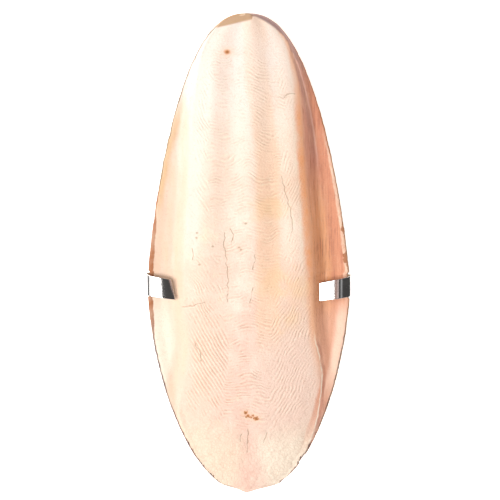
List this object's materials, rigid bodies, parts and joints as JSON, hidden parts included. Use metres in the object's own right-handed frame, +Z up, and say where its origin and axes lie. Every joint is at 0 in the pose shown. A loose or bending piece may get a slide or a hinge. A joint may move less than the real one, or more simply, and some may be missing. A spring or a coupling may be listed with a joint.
{
  "type": "cuttlebone",
  "caption": "Dried oval cuttlebone with a ribbed hard side and a chalky belly, held by a bent metal strip folded over both edges.",
  "frame": {"origin": "middle of the bounding box, on the surface that the object lies on", "axes": "+Y along the bone toward its narrow tail end, +Z up out of the ribbed hard side, +X to the right of the ribbed side"},
  "size_m": [0.0634, 0.15, 0.0159],
  "materials": {
    "bone": "matte",
    "strip": "polished"
  },
  "bodies": {
    "root": {"cuttlebone": "bone", "clip": "strip"}
  },
  "joints": []
}
